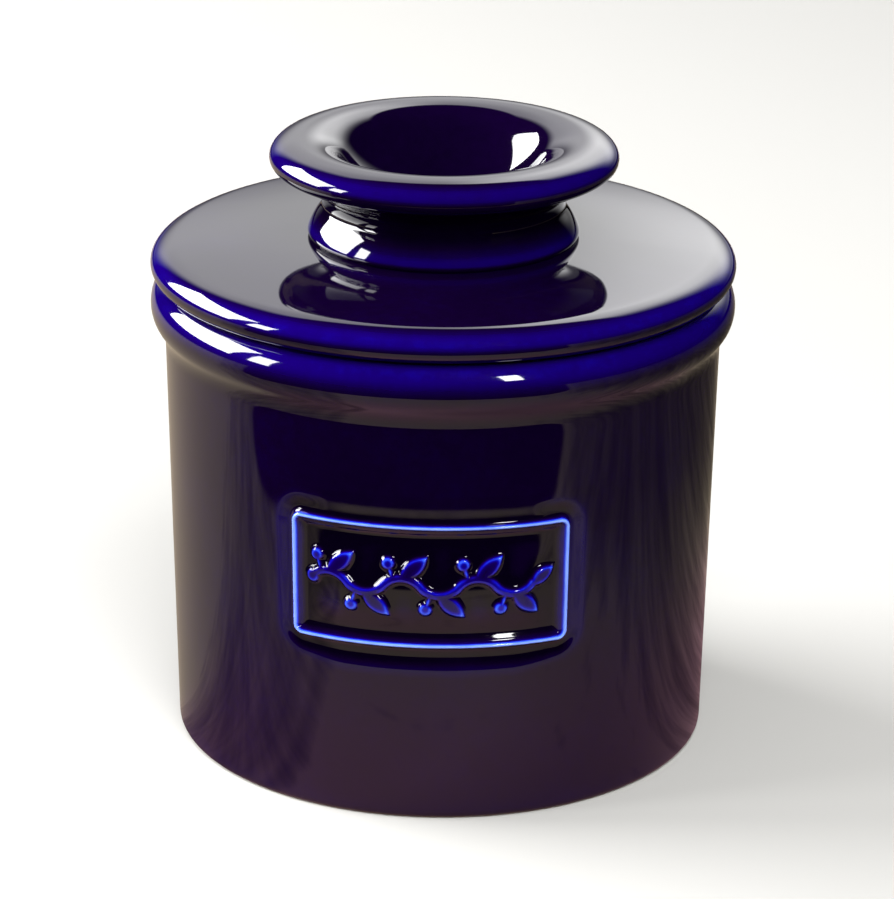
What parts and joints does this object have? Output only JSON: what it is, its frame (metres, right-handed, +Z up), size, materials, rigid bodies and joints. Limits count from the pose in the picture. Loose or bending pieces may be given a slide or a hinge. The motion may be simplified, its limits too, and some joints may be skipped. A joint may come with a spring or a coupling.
{
  "type": "butter crock",
  "caption": "Glazed stoneware butter crock: a round crock for a little water, and a lift-off lid with a flanged knob above and a bell cup for butter below.",
  "frame": {"origin": "on the crock's axis, in the plane that its foot stands on", "axes": "+Z up along the crock's axis, and the label faces -Y"},
  "size_m": [0.0952, 0.0952, 0.1004],
  "materials": {
    "cobalt_glaze": "very dark cobalt blue glaze, high gloss, brighter blue where it thins over edges",
    "thin_glaze": "the same glaze run thin over raised relief, bright blue, high gloss"
  },
  "bodies": {
    "crock": {"crock_body": "cobalt_glaze", "label_frame": "thin_glaze", "label_sprig": "thin_glaze"},
    "bell_lid": {"lid_plate": "cobalt_glaze", "knob": "cobalt_glaze", "bell_cup": "cobalt_glaze"}
  },
  "joints": [
    {"name": "lid_lift", "type": "slide", "parent": "crock", "child": "bell_lid", "axis": [0, 0, 1], "range_m": [0, 0.07]}
  ]
}
